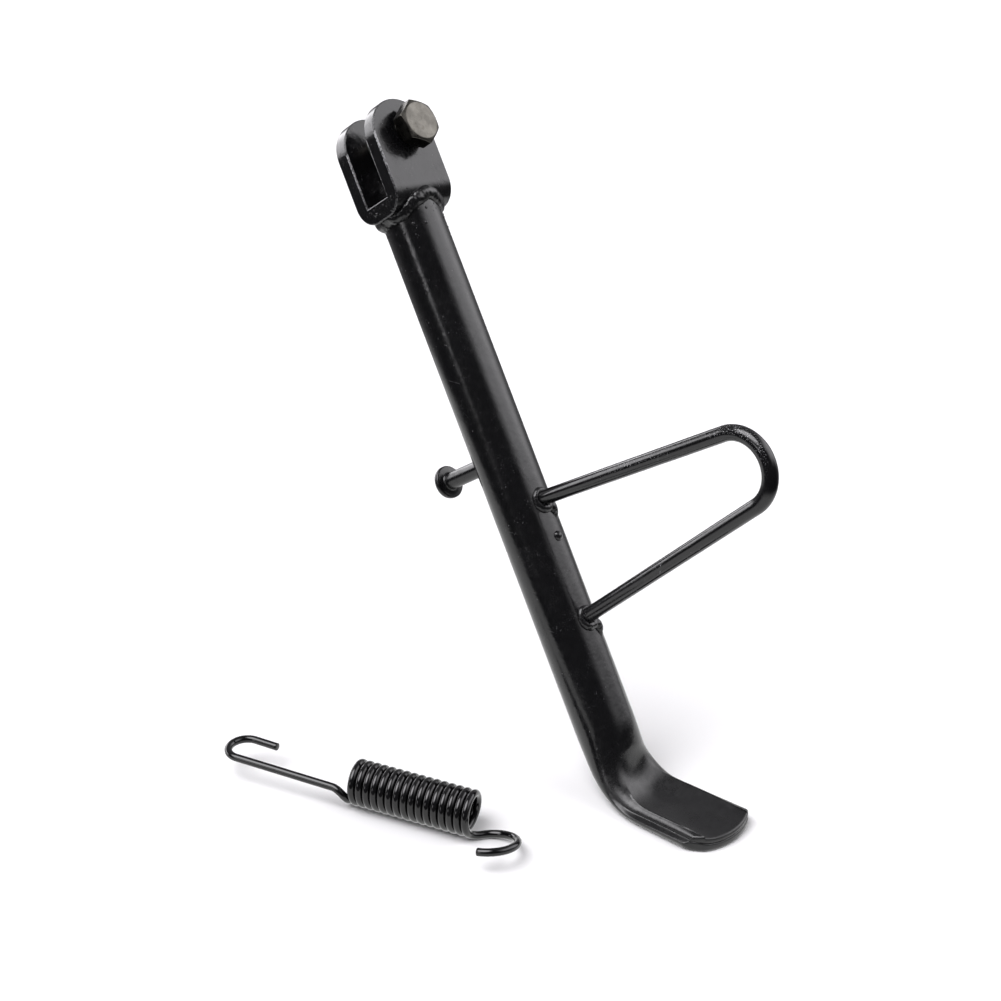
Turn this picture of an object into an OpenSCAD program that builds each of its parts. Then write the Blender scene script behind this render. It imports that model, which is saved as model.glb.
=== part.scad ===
// Motorcycle side stand with kick loop, pivot bolt and separate return spring.
// Millimetres, +Z up.  The origin is the centre of the pivot bolt, midway
// between the two ears.  +X points outward from the motorcycle, -Y forward.
// The sole of the foot and the loose spring lie on one horizontal plane.

/* [Leg] */
// Outside diameter of the leg tube
tube_d = 25; // [22:0.5:28]
// Wall thickness of the leg tube
tube_wall = 3; // [2:0.5:4]
// Height of the pivot centre above the sole of the foot
pivot_height = 233.6; // [220:0.1:250]
// Outward lean of the leg from the vertical, degrees
lean = 34; // [30:0.5:38]
// Forward rake of the leg, turned about the pivot axis, degrees
rake = 5.5; // [0:0.5:8]
// Sideways offset of the tube from the bolt centre
tube_offset = 3; // [0:0.5:4]

/* [Foot] */
// Width of the flattened foot
foot_w = 34.6; // [32:0.2:37]
// Thickness of the flattened foot, two tube walls pressed together
foot_t = 7; // [6:0.5:9]
// Distance of the foot tip from the pivot, along X
foot_reach = 205.6; // [200:0.1:212]
// Centre-line radius of the bend at the heel
heel_r = 27; // [20:1:34]
// Radius of the rounded tip, seen from above
tip_r = 27; // [24:1:34]
// Sideways offset of the rounded tip's foremost point
tip_off = 3; // [0:0.5:6]
// Depth of the dished top of the foot
dish = 1.2; // [0:0.1:1.6]

/* [Clevis] */
// Width of the ears, across the leg
ear_w = 31.2; // [28:0.2:34]
// Thickness of the bracket plate
plate_t = 6.5; // [5:0.5:7]
// Width of the slot that takes the frame lug
slot_w = 13; // [12:0.5:15]
// Depth of the slot below the centre of the ears' round tops
slot_depth = 22.5; // [20:0.5:24]
// Outside radius of the two bends
bend_r = 9.5; // [7:0.5:11]
// Height of the bolt centre above the centre of the round tops
bolt_rise = 1.8; // [0:0.1:3]
// Diameter of the bolt holes in the ears
ear_bore = 12.1; // [12.04:0.02:12.18]

/* [Pivot bolt] */
// Diameter of the bolt's plain shoulder
shoulder_d = 12; // [11.9:0.02:12]
// Thread diameter of the bolt
thread_d = 10; // [8:1:10]
// Width across flats of the bolt head
head_af = 17; // [16:1:18]
// Height of the bolt head
head_h = 6.4; // [5:0.1:7]
// Clearance between the head and the near ear
head_gap = 2.6; // [0.3:0.1:3]
// Height of the thin lock nut
nut_h = 5; // [4:0.5:6]

/* [Kick loop] */
// Diameter of the loop's rod
rod_d = 6.2; // [5:0.1:8]
// Distance of the tip's centre from the leg axis
loop_reach = 108.5; // [80:0.5:115]
// Depth of the tip's centre below the pivot, along the leg
loop_drop = 176.3; // [165:0.1:185]
// Centre-line radius of the loop's tip
loop_tip_r = 14.4; // [12:0.2:18]
// Fall of the upper side of the loop, degrees
loop_upper_fall = 1.9; // [0:0.1:4]
// Rise of the lower side of the loop, degrees
loop_lower_rise = 10.7; // [8:0.1:13]

/* [Spring post] */
// Diameter of the post's shank
post_d = 7.2; // [6:0.1:9]
// Diameter of the post's flange
flange_d = 14; // [12:0.5:16]
// Thickness of the post's flange
flange_t = 2.6; // [2:0.1:4]
// Distance of the flange's outer face from the leg axis
post_reach = 37.2; // [32:0.1:42]
// Depth of the post below the pivot, along the leg
post_drop = 137.6; // [120:0.2:150]

/* [Return spring] */
// Wire diameter
wire_d = 3.2; // [3:0.02:3.2]
// Outside diameter of the coil
coil_od = 18.7; // [17:0.1:20]
// Distance from one turn to the next
pitch = 3.28; // [3.28:0.02:3.6]
// Number of turns
turns = 15.99; // [14:0.01:18]
// Length of the straight shank of the long hook
shank_l = 43.6; // [35:0.2:50]
// Bend radius of the long hook
long_r = 7.1; // [6:0.1:9]
// Bend radius of the short hook
short_r = 10.4; // [8:0.2:11]
// Turn of the lying spring about the vertical, degrees
spring_yaw = 16; // [10:0.2:30]

/* [Hidden] */
$fn = 64;

black = [0.06, 0.06, 0.065];
weld_black = [0.11, 0.11, 0.12];
steel = [0.55, 0.53, 0.49];

tube_r = tube_d / 2;
sole_z = -pivot_height;
half_span = slot_w / 2 + plate_t;
ear_r = ear_w / 2;
u_bottom = slot_depth + plate_t + 1;      // below the round tops' centre

// Axes of the leg in the row frame
axis_b = [cos(lean), 0, sin(lean)];
axis_l = [-sin(lean) * cos(rake), sin(rake), cos(lean) * cos(rake)];
axis_w = [sin(lean) * sin(rake), cos(rake), -cos(lean) * sin(rake)];
function row(p) = p[0] * axis_b + p[1] * axis_w + p[2] * axis_l;

// Places a shape that is drawn in the leg's own frame: x along the bolt,
// y across the ears, z up the leg
module in_leg() {
    rotate([0, -lean, 0]) rotate([-rake, 0, 0]) children();
}

// Moves from the bolt centre to the centre of the ears' round tops
module at_ears() {
    translate([0, -tube_offset, -bolt_rise]) children();
}

function lerp(a, b, t) = a + (b - a) * t;
function clamp01(t) = min(1, max(0, t));
function ease(t) = let (c = clamp01(t)) c * c * (3 - 2 * c);
function unit(v) = v / norm(v);

// A round rod along a list of points; upv is any direction the rod never follows
module sweep(path, r, m, upv) {
    n = len(path) - 1;
    pts = [for (i = [0 : n])
        let (t = unit(path[min(n, i + 1)] - path[max(0, i - 1)]), e = unit(cross(upv, t)), g = cross(t, e))
        each [for (k = [0 : m - 1]) path[i] + r * (cos(360 * k / m) * e + sin(360 * k / m) * g)]];
    side = [for (i = [0 : n - 1], k = [0 : m - 1])
        let (l = (k + 1) % m, a = i * m + k, b = (i + 1) * m + k, c = (i + 1) * m + l, d = i * m + l)
        each [[a, b, c], [a, c, d]]];
    caps = [[for (k = [0 : m - 1]) k], [for (k = [m - 1 : -1 : 0]) n * m + k]];
    polyhedron(points = pts, faces = concat(side, caps), convexity = 10);
}
// Points of a rounded knee at q between p and s, cut back by c
function knee(p, q, s, c, n = 5) = let (a = q + c * unit(p - q), b = q + c * unit(s - q))
    [for (i = [0 : n]) let (t = i / n) (1 - t) * (1 - t) * a + 2 * t * (1 - t) * q + t * t * b];

// ---------------------------------------------------------------- clevis

// Side view of the bracket, bolt axis across the page
module u_profile(grow = 0) {
    h = half_span + grow;
    r = bend_r + grow;
    translate([-h, -(u_bottom - bend_r)]) square([2 * h, u_bottom - bend_r + ear_r + 4]);
    translate([-(half_span - bend_r), -u_bottom - grow]) square([2 * (half_span - bend_r), r]);
    for (s = [-1, 1])
        translate([s * (half_span - bend_r), -(u_bottom - bend_r)]) circle(r = r);
}

// Flat view of one ear
module ear_outline(grow = 0) {
    union() {
        circle(r = ear_r + grow);
        translate([-ear_r - grow, -u_bottom - 4]) square([ear_w + 2 * grow, u_bottom + 4]);
    }
}

module bracket_block(grow = 0) {
    intersection() {
        translate([0, ear_r + 5, 0]) rotate([90, 0, 0]) linear_extrude(ear_w + 10) u_profile(grow);
        translate([-half_span - 5, 0, 0]) rotate([90, 0, 90]) linear_extrude(2 * half_span + 10) ear_outline(grow);
    }
}

module clevis_bracket() {
    color(black) in_leg() difference() {
        at_ears() difference() {
            bracket_block();
            translate([-slot_w / 2, -ear_r - 1, -slot_depth]) cube([slot_w, ear_w + 2, slot_depth + ear_r + 10]);
        }
        translate([-half_span - 2, 0, 0]) rotate([0, 90, 0]) cylinder(d = ear_bore, h = 2 * half_span + 4);
    }
}

// Height of the bracket's underside at a distance x from its middle
function under(x) = let (c = half_span - bend_r, d = abs(x) - c)
    d <= 0 ? -u_bottom : -(u_bottom - bend_r) - sqrt(max(0, bend_r * bend_r - d * d));

// ---------------------------------------------------------------- leg tube

// The foot starts as the round tube and is pressed flat behind the heel.
// Its centre line runs down the leg, round the heel and out along +X.
foot_half = foot_t / 2;
leg_top = row([0, -tube_offset, -bolt_rise]);
foot_mid_z = sole_z + foot_half;
corner_t = (foot_mid_z - leg_top[2]) / -axis_l[2];
corner = leg_top - corner_t * axis_l;
turn = acos(axis_l[0] * -1);              // angle between the leg and +X
tangent_len = heel_r * tan(turn / 2);
heel_start = corner + tangent_len * axis_l;
arc_len = heel_r * turn * PI / 180;

// Position and direction of the centre line, s millimetres past the heel's start
function heel_pos(s) =
    s <= 0 ? heel_start - s * axis_l :
    s < arc_len ? let (a = s / heel_r * 180 / PI)
        heel_start + heel_r * (-sin(a) * axis_l + (1 - cos(a)) * side_in) :
    corner + [tangent_len + s - arc_len, 0, 0];
side_in = unit([1, 0, 0] - ([1, 0, 0] * axis_l) * axis_l);
function heel_dir(s) =
    s <= 0 ? -axis_l :
    s < arc_len ? let (a = s / heel_r * 180 / PI) -cos(a) * axis_l + sin(a) * side_in :
    [1, 0, 0];

// A round-ended slot shape, half width a, half height b, at angle f
function stadium(f, a, b) =
    let (c = cos(f), s = sin(f), m = a - b)
    (abs(s) > 1e-6 && abs(a * c / s) <= m)
    ? [a * c / abs(s), sign(s) * b]
    : let (qa = a * c * a * c + b * s * b * s, qb = -2 * a * abs(c) * m, qc = m * m - b * b,
           k = (-qb + sqrt(max(0, qb * qb - 4 * qa * qc))) / (2 * qa))
      [k * a * c, k * b * s];

flat_from = -24;                          // where the tube starts to flatten
flat_to = arc_len + 6;                    // where it is fully flat
ring_n = 40;
function half_w(s) = lerp(tube_r - 0.05, foot_w / 2, ease((s - flat_from) / (flat_to - flat_from)));
function half_h(s) = lerp(tube_r - 0.05, foot_half, ease((s - flat_from) / (flat_to - flat_from)));
// The sole side is pressed less than the top side in front of the heel
function tip_x(y) = foot_reach - tip_r + sqrt(max(1, tip_r * tip_r - (y - tip_off) * (y - tip_off)));

function foot_ring(s, u) =
    let (p = heel_pos(s), d = heel_dir(s),
         lat = unit([0, 1, 0] - d[1] * d), up = cross(d, lat),
         a = half_w(s), b = half_h(s), fl = ease((s - flat_from) / (flat_to - flat_from)))
    [for (i = [0 : ring_n - 1])
        let (q = stadium(360 * i / ring_n, a, b), m = max(0.1, a - b),
             z = q[1] > 0 ? q[1] - dish * fl * max(0, 1 - pow(q[0] / m, 2)) : q[1],
             w = p + lat * q[0] + up * z)
        u < 0 ? w : [lerp(p[0], tip_x(q[0]), u), w[1], w[2]]];

stations = concat([for (k = [0 : 4]) [flat_from - 6 + 3 * k, -1]],
                  [for (k = [1 : 18]) [lerp(flat_from + 6, flat_to + 1, k / 18), -1]],
                  [for (k = [1 : 9]) [flat_to + 1, k / 9]]);
rings = [for (st = stations) foot_ring(st[0], st[1])];

module foot_solid() {
    m = len(rings);
    n = ring_n;
    pts = [for (r = rings) each r];
    side = [for (j = [0 : m - 2], i = [0 : n - 1])
        let (a = j * n + i, b = j * n + (i + 1) % n, c = (j + 1) * n + (i + 1) % n, d = (j + 1) * n + i)
        each [[a, c, b], [a, d, c]]];
    first = [for (i = [0 : n / 2 - 1])
        let (a = i, b = (i + 1) % n, c = (n - i - 1) % n, d = (n - i) % n)
        each (a == d ? [[a, b, c]] : b == c ? [[a, b, d]] : [[a, b, c], [a, c, d]])];
    o = (m - 1) * n;
    last = [for (i = [0 : n / 2 - 1])
        let (a = i, b = (i + 1) % n, c = (n - i - 1) % n, d = (n - i) % n)
        each (a == d ? [[o + a, o + c, o + b]] : b == c ? [[o + a, o + d, o + b]] : [[o + a, o + c, o + b], [o + a, o + d, o + c]])];
    polyhedron(points = pts, faces = concat(side, first, last), convexity = 6);
}

module leg_tube() {
    straight = norm(heel_start - leg_top) + flat_from - 1.3;
    color(black) union() {
        in_leg() translate([0, -tube_offset, -bolt_rise]) difference() {
            translate([0, 0, -straight]) cylinder(r = tube_r, h = straight - 21);
            translate([0, 0, -straight + 6]) cylinder(r = tube_r - tube_wall, h = straight);
            bracket_block(0.02);
        }
        foot_solid();
    }
}

// ---------------------------------------------------------------- welds

// A closed bead whose centre line follows the joint between tube and bracket
bead_n = 48;
bead_m = 10;
module bead_ring() {
    c = [for (i = [0 : bead_n - 1]) let (f = 360 * i / bead_n)
        [(tube_r + 0.5) * cos(f), (tube_r + 0.5) * sin(f), under((tube_r - 0.2) * cos(f)) - 0.4]];
    pts = [for (i = [0 : bead_n - 1])
        let (f = 360 * i / bead_n, t = unit(c[(i + 1) % bead_n] - c[(i + bead_n - 1) % bead_n]),
             e = unit([cos(f), sin(f), 0] - ([cos(f), sin(f), 0] * t) * t), g = cross(t, e),
             r = 2.5 + 0.35 * sin(9 * f) + 0.25 * cos(5 * f))
        each [for (k = [0 : bead_m - 1]) c[i] + r * (cos(360 * k / bead_m) * e + sin(360 * k / bead_m) * g)]];
    faces = [for (i = [0 : bead_n - 1], k = [0 : bead_m - 1])
        let (j = (i + 1) % bead_n, l = (k + 1) % bead_m,
             a = i * bead_m + k, b = j * bead_m + k, cc = j * bead_m + l, d = i * bead_m + l)
        each [[a, b, cc], [a, cc, d]]];
    polyhedron(points = pts, faces = faces, convexity = 6);
}

module clevis_weld() {
    color(weld_black) in_leg() at_ears() difference() {
        bead_ring();
        bracket_block(0.03);
        translate([0, 0, -60]) cylinder(r = tube_r + 0.03, h = 60);
    }
}

// A fillet bead round a rod that meets the tube; the rod runs along +x
module root_bead(z, slope, d, r, side = 1) {
    in_leg() translate([0, -tube_offset, 0]) difference() {
        translate([side * tube_r, 0, z]) rotate([0, side * 90 - slope, 0])
            rotate_extrude() polygon([[d / 2 + 0.04, -2.2], [d / 2 + 0.04, r], [d / 2 + 0.35 * r, 0.3 * r], [d / 2 + r, -0.6], [d / 2 + r, -2.2]]);
        translate([0, 0, z - 30]) cylinder(r = tube_r + 0.02, h = 60);
    }
}

loop_c = [loop_reach, -loop_drop];
upper_z = loop_c[1] + loop_tip_r * cos(loop_upper_fall) + (loop_c[0] + loop_tip_r * sin(loop_upper_fall) - tube_r) * tan(loop_upper_fall);
lower_z = loop_c[1] - loop_tip_r * cos(loop_lower_rise) - (loop_c[0] + loop_tip_r * sin(loop_lower_rise) - tube_r) * tan(loop_lower_rise);

module loop_weld_upper() { color(weld_black) root_bead(upper_z, -loop_upper_fall, rod_d, 2.2); }
module loop_weld_lower() { color(weld_black) root_bead(lower_z, loop_lower_rise, rod_d, 2.2); }
module post_weld() { color(weld_black) root_bead(-post_drop, 0, post_d, 1.5, -1); }

// Small drop of weld on the tube between the two roots of the loop
module tack_bead() {
    color(weld_black) in_leg() translate([0, -tube_offset, 0]) difference() {
        translate([tube_r - 0.4, 0.8, -175]) sphere(r = 2.1, $fn = 24);
        translate([0, 0, -200]) cylinder(r = tube_r + 0.02, h = 60);
    }
}

// ---------------------------------------------------------------- kick loop

module kick_loop() {
    a0 = -90 + loop_lower_rise;
    a1 = 90 - loop_upper_fall;
    up = loop_c + loop_tip_r * [cos(a1), sin(a1)];
    lo = loop_c + loop_tip_r * [cos(a0), sin(a0)];
    up_l = (up[0] - tube_r + 3) / cos(loop_upper_fall);
    lo_l = (lo[0] - tube_r + 3) / cos(loop_lower_rise);
    plan = concat(
        [for (i = [0 : 4]) lo - (1 - i / 5) * lo_l * [cos(loop_lower_rise), sin(loop_lower_rise)]],
        [for (i = [0 : 26]) loop_c + loop_tip_r * [cos(lerp(a0, a1, i / 26)), sin(lerp(a0, a1, i / 26))]],
        [for (i = [1 : 5]) up + i / 5 * up_l * [-cos(loop_upper_fall), sin(loop_upper_fall)]]);
    color(black) in_leg() translate([0, -tube_offset, 0]) difference() {
        sweep([for (p = plan) [p[0], 0, p[1]]], rod_d / 2, 20, [0, 1, 0]);
        translate([0, 0, -240]) cylinder(r = tube_r + 0.02, h = 140);
    }
}

// ---------------------------------------------------------------- spring post

module spring_post() {
    color(black) in_leg() translate([0, -tube_offset, -post_drop]) difference() {
        rotate([0, -90, 0]) rotate_extrude() polygon([
            [0, tube_r - 3], [post_d / 2, tube_r - 3], [post_d / 2, post_reach - flange_t],
            [flange_d / 2 - 0.5, post_reach - flange_t], [flange_d / 2, post_reach - flange_t + 0.5],
            [flange_d / 2, post_reach - 0.7], [flange_d / 2 - 0.7, post_reach], [0, post_reach]]);
        translate([0, 0, -20]) cylinder(r = tube_r + 0.02, h = 40);
    }
}

// ---------------------------------------------------------------- pivot bolt

head_x = half_span + head_gap;
module pivot_bolt() {
    color(steel) in_leg() union() {
        // head with the usual 30 degree chamfer on its outer face
        translate([head_x, 0, 0]) rotate([0, 90, 0]) intersection() {
            rotate([0, 0, 9]) cylinder(d = head_af / cos(30), h = head_h, $fn = 6);
            rotate_extrude() polygon([[0, 0], [head_af / 2 - 0.3, 0], [head_af / 2 + 1.6, 0.9],
                [head_af / 2 + 1.6, head_h - 1.6], [head_af / 2 - 0.8, head_h], [0, head_h]]);
        }
        // plain shoulder that carries the lug and both ears, then the thread
        rotate([0, 90, 0]) rotate_extrude() polygon([[0, -half_span - nut_h - 2.5], [thread_d / 2 - 1, -half_span - nut_h - 2.5],
            [thread_d / 2, -half_span - nut_h - 1.5], [thread_d / 2, -half_span - 0.35],
            [shoulder_d / 2, -half_span - 0.35], [shoulder_d / 2, head_x + 0.2], [0, head_x + 0.2]]);
    }
}

module lock_nut() {
    color(steel) in_leg() translate([-half_span - 0.37 - nut_h, 0, 0]) rotate([0, 90, 0]) difference() {
        intersection() {
            rotate([0, 0, 20]) cylinder(d = head_af / cos(30), h = nut_h, $fn = 6);
            rotate_extrude() polygon([[0, 0], [head_af / 2 - 0.5, 0], [head_af / 2 + 1.5, 1.1],
                [head_af / 2 + 1.5, nut_h - 1.1], [head_af / 2 - 0.5, nut_h], [0, nut_h]]);
        }
        translate([0, 0, -1]) cylinder(d = thread_d + 0.04, h = nut_h + 2);
    }
}

// ---------------------------------------------------------------- return spring

coil_r = (coil_od - wire_d) / 2;
wire_r = wire_d / 2;
start_f = 227;                            // where the long hook leaves the coil
end_f = start_f + 360 * turns;            // where the short hook leaves it
coil_l = pitch * turns;

module at_spring() {
    translate([75.55, -105.6, sole_z + coil_od / 2]) rotate([0, 0, spring_yaw]) children();
}

steps = 22;
wire_m = 8;
module coil_solid() {
    n = ceil(turns * steps);
    c = [for (i = [0 : n]) let (f = start_f + (end_f - start_f) * i / n)
        [pitch * turns * i / n, coil_r * cos(f), coil_r * sin(f)]];
    pts = [for (i = [0 : n])
        let (f = start_f + (end_f - start_f) * i / n,
             t = unit([pitch / 360 * 180 / PI, -coil_r * sin(f), coil_r * cos(f)]),
             e = [0, cos(f), sin(f)], g = cross(t, e))
        each [for (k = [0 : wire_m - 1]) c[i] + wire_r * (cos(360 * k / wire_m) * e + sin(360 * k / wire_m) * g)]];
    side = [for (i = [0 : n - 1], k = [0 : wire_m - 1])
        let (l = (k + 1) % wire_m, a = i * wire_m + k, b = (i + 1) * wire_m + k, cc = (i + 1) * wire_m + l, d = i * wire_m + l)
        each [[a, b, cc], [a, cc, d]]];
    caps = concat([[for (k = [0 : wire_m - 1]) k]], [[for (k = [wire_m - 1 : -1 : 0]) n * wire_m + k]]);
    polyhedron(points = pts, faces = concat(side, caps), convexity = 20);
}

module spring_coil() { color(black) at_spring() coil_solid(); }

// Points of a smooth curve from a to d that leaves towards b and arrives from c.
// Each hook starts square to the coil's end face, 0.03 mm off it.
function curve(a, b, c, d, n) = [for (i = [0 : n]) let (t = i / n, u = 1 - t)
    u * u * u * a + 3 * u * u * t * b + 3 * u * t * t * c + t * t * t * d];
// Where the coil's centre line is, and which way it runs, at angle f and length x
function coil_at(f, x) = [x, coil_r * cos(f), coil_r * sin(f)];
function coil_way(f) = unit([pitch / 2 / PI, -coil_r * sin(f), coil_r * cos(f)]);

module spring_long_hook() {
    w = coil_way(start_f);
    p0 = coil_at(start_f, 0) - 0.03 * w;
    p2 = [-6.64, -6.55, -0.67];
    p3 = p2 + [-shank_l, -0.3, 1.43];
    d = unit(p2 - p3);
    c = p3 + [0, long_r, 0];
    p4 = p3 + [0, 2 * long_r, 0];
    path = concat([p0], curve(p0 - 0.4 * w, p0 - 4 * w, p2 + 3.2 * d, p2, 9), [lerp(p2, p3, 0.5), p3],
        [for (i = [1 : 15]) let (f = -90 - 180 * i / 16) c + long_r * [cos(f), sin(f), 0]],
        [p4, p4 + [5.4, -0.3, 0], p4 + [10.9, -0.6, 0]]);
    color(black) at_spring() sweep(path, wire_r, 12, [0, 0, 1]);
}

// The short hook's circle lies in a plane that tips up towards its free end
module spring_short_hook() {
    w = coil_way(end_f);
    p0 = coil_at(end_f, coil_l) + 0.03 * w;
    function on(f) = [coil_l + 11, -8.93, -4.2] + short_r * [cos(f), sin(f), 0.194 * cos(f) - 0.284 * sin(f)];
    a0 = 135;
    t0 = unit(on(a0 - 1) - on(a0));
    path = concat([p0], curve(p0 + 0.4 * w, p0 + 2.6 * w, on(a0) - 1.8 * t0, on(a0), 7),
        [for (i = [1 : 22]) on(lerp(a0, -93, i / 22))]);
    color(black) at_spring() sweep(path, wire_r, 12, [0.2, 0.3, 1]);
}

leg_tube();
clevis_bracket();
clevis_weld();
pivot_bolt();
lock_nut();
kick_loop();
loop_weld_upper();
loop_weld_lower();
tack_bead();
spring_post();
post_weld();
spring_coil();
spring_long_hook();
spring_short_hook();
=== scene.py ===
"""Looks of a motorcycle side stand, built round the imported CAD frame. Metres, row frame."""

import math

import bmesh
import bpy
import numpy as np
from mathutils import Matrix, Vector, noise


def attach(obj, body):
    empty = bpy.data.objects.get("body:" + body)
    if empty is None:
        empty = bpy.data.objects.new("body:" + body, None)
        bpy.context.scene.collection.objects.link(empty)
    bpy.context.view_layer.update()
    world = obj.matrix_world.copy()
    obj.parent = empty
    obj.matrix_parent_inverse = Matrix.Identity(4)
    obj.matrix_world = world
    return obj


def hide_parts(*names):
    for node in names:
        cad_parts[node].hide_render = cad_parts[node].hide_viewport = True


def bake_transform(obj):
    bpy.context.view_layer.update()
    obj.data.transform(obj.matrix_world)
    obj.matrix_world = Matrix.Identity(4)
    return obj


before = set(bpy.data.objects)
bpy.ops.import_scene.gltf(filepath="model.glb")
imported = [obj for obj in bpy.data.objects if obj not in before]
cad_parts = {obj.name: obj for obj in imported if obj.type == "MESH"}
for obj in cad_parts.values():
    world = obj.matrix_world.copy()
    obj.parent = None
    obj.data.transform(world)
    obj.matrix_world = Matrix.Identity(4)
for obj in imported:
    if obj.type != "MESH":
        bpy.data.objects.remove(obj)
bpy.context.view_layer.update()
rng = np.random.default_rng(7)
MM = 0.001

# ---------------------------------------------------------------- studio settings
BACK_SKY, FRONT_SKY, LOW_SKY = 0.30, 0.08, 0.05
R_CARD, CARD_L, CARD_MID = 0.43, 1.2, (0.07, -0.04, -0.2336)


def LIGHTS(round_box, long_box):
    return [
        round_box((-0.22, -0.44, 0.87), 14, 30, 7.5),
        long_box((0.508, 0.618, 0.600), (-0.443, 0.811, -0.39), 0.35, 0.80, 0.30, 0.85, 0.12, 0.52, 2.85),
        long_box((-0.985, -0.02, 0.16), (0.02, -0.99, 0.0), 0.36, 0.55, 0.45, 0.62, 0.11, 0.15, 4.6),
        long_box((-0.185, -0.955, 0.31), (-0.98, 0.19, 0.0), 0.02, 0.20, 0.02, 0.20, 0.06, 0.13, 4.0),
    ]


# ---------------------------------------------------------------- the leg's own axes
LEAN, RAKE = math.radians(34), math.radians(5.5)
AB = np.array([math.cos(LEAN), 0, math.sin(LEAN)])
AL = np.array([-math.sin(LEAN) * math.cos(RAKE), math.sin(RAKE), math.cos(LEAN) * math.cos(RAKE)])
AW = np.array([math.sin(LEAN) * math.sin(RAKE), math.cos(RAKE), -math.cos(LEAN) * math.sin(RAKE)])
OFF, RISE = 3.0, 1.8
SOLE = -233.6
TUBE_R = 12.5
U_BOTTOM, BEND_R, HALF = 30.0, 9.5, 13.0
EAR_R, SLOT, SLOT_DEPTH = 15.6, 6.5, 22.5


def row(p):
    """Leg frame to row frame, millimetres."""
    p = np.atleast_2d(np.asarray(p, float))
    return p[:, :1] * AB + p[:, 1:2] * AW + p[:, 2:3] * AL


def under(x):
    c = HALF - BEND_R
    d = np.abs(x) - c
    return np.where(d <= 0, -U_BOTTOM, -(U_BOTTOM - BEND_R) - np.sqrt(np.maximum(0, BEND_R**2 - np.maximum(d, 0) ** 2)))


def smooth(t):
    t = np.clip(t, 0, 1)
    return t * t * (3 - 2 * t)


def unit(v):
    v = np.asarray(v, float)
    return v / np.linalg.norm(v)


def nz(p, scale, seed=0.0):
    """Smooth noise at each point, about -1 to 1; scale in millimetres."""
    return np.array([noise.noise(Vector((q[0] / scale + seed, q[1] / scale - seed, q[2] / scale + 2 * seed))) for q in np.atleast_2d(p)])


# ---------------------------------------------------------------- mesh helpers
def make(name, verts_mm, faces, angle=38, edge=None, edge_faces=()):
    me = bpy.data.meshes.new(name)
    me.from_pydata((np.asarray(verts_mm) * MM).tolist(), [], faces)
    me.update()
    bm = bmesh.new()
    bm.from_mesh(me)
    bmesh.ops.recalc_face_normals(bm, faces=bm.faces)
    bm.to_mesh(me)
    bm.free()
    ob = bpy.data.objects.new(name, me)
    bpy.context.scene.collection.objects.link(ob)
    for p in me.polygons:
        p.use_smooth = True
    me.set_sharp_from_angle(angle=math.radians(angle))
    if edge is not None:
        at = me.attributes.new("edge", "FLOAT", "CORNER")
        at.data.foreach_set("value", np.asarray([edge[v] if p.index in edge_faces else 0.0 for p in me.polygons for v in p.vertices], np.float32))
    return ob


def grid_faces(n, m, closed=True, start=0):
    f = []
    for i in range(n - 1):
        for k in range(m if closed else m - 1):
            l = (k + 1) % m
            f.append((start + i * m + k, start + i * m + l, start + (i + 1) * m + l, start + (i + 1) * m + k))
    return f


def tube_along(path, r, m, cap=True, round_end=0.0, wobble=0.0):
    """Round rod along a polyline, parallel-transported so it doesn't twist."""
    path = np.asarray(path, float)
    n = len(path)
    tan = np.gradient(path, axis=0)
    tan /= np.linalg.norm(tan, axis=1)[:, None]
    a = np.cross(tan[0], [0.3, 0.2, 1.0])
    a = unit(a)
    rings = []
    ang = np.linspace(0, 2 * np.pi, m, endpoint=False)
    radii = np.full(n, float(r)) if np.isscalar(r) else np.asarray(r, float)
    for i in range(n):
        a = a - tan[i] * (a @ tan[i])
        a = unit(a)
        b = np.cross(tan[i], a)
        rings.append(path[i] + radii[i] * (np.cos(ang)[:, None] * a + np.sin(ang)[:, None] * b))
    v = list(np.concatenate(rings))
    f = grid_faces(n, m)
    if cap:
        for end, t, sgn in ((0, tan[0], -1), (n - 1, tan[-1], 1)):
            base = end * m
            prev = [base + k for k in range(m)]
            for sc, out in ((0.93, 0.10), (0.82, 0.16)):
                ring = path[end] + (rings[end] - path[end]) * sc + sgn * t * radii[end] * out
                s = len(v)
                v += list(ring)
                cur = [s + k for k in range(m)]
                f += [(prev[k], prev[(k + 1) % m], cur[(k + 1) % m], cur[k]) for k in range(m)]
                prev = cur
            s = len(v)
            v.append(path[end] + sgn * t * radii[end] * 0.16)
            f += [(prev[k], prev[(k + 1) % m], s) for k in range(m)]
    return np.array(v), f


def lathe(profile, m, axis_o, ax, e1, e2):
    """Profile rows are (along, radius); a radius of 0 closes the end."""
    v, f, prev = [], [], None
    ang = np.linspace(0, 2 * np.pi, m, endpoint=False)
    for x, r in profile:
        if r < 1e-6:
            cur = [len(v)]
            v.append(axis_o + ax * x)
        else:
            cur = list(range(len(v), len(v) + m))
            v += list(axis_o + ax * x + r * (np.cos(ang)[:, None] * e1 + np.sin(ang)[:, None] * e2))
        if prev is not None:
            if len(prev) == 1 and len(cur) > 1:
                f += [(prev[0], cur[(k + 1) % m], cur[k]) for k in range(m)]
            elif len(cur) == 1 and len(prev) > 1:
                f += [(cur[0], prev[k], prev[(k + 1) % m]) for k in range(m)]
            elif len(cur) > 1:
                f += [(prev[k], prev[(k + 1) % m], cur[(k + 1) % m], cur[k]) for k in range(m)]
        prev = cur
    return np.array(v), f


# ---------------------------------------------------------------- materials
def new_mat(name):
    m = bpy.data.materials.new(name)
    m.use_nodes = True
    nt = m.node_tree
    for n in list(nt.nodes):
        nt.nodes.remove(n)
    out = nt.nodes.new("ShaderNodeOutputMaterial")
    bs = nt.nodes.new("ShaderNodeBsdfPrincipled")
    nt.links.new(bs.outputs[0], out.inputs[0])
    return m, nt, bs


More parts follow.
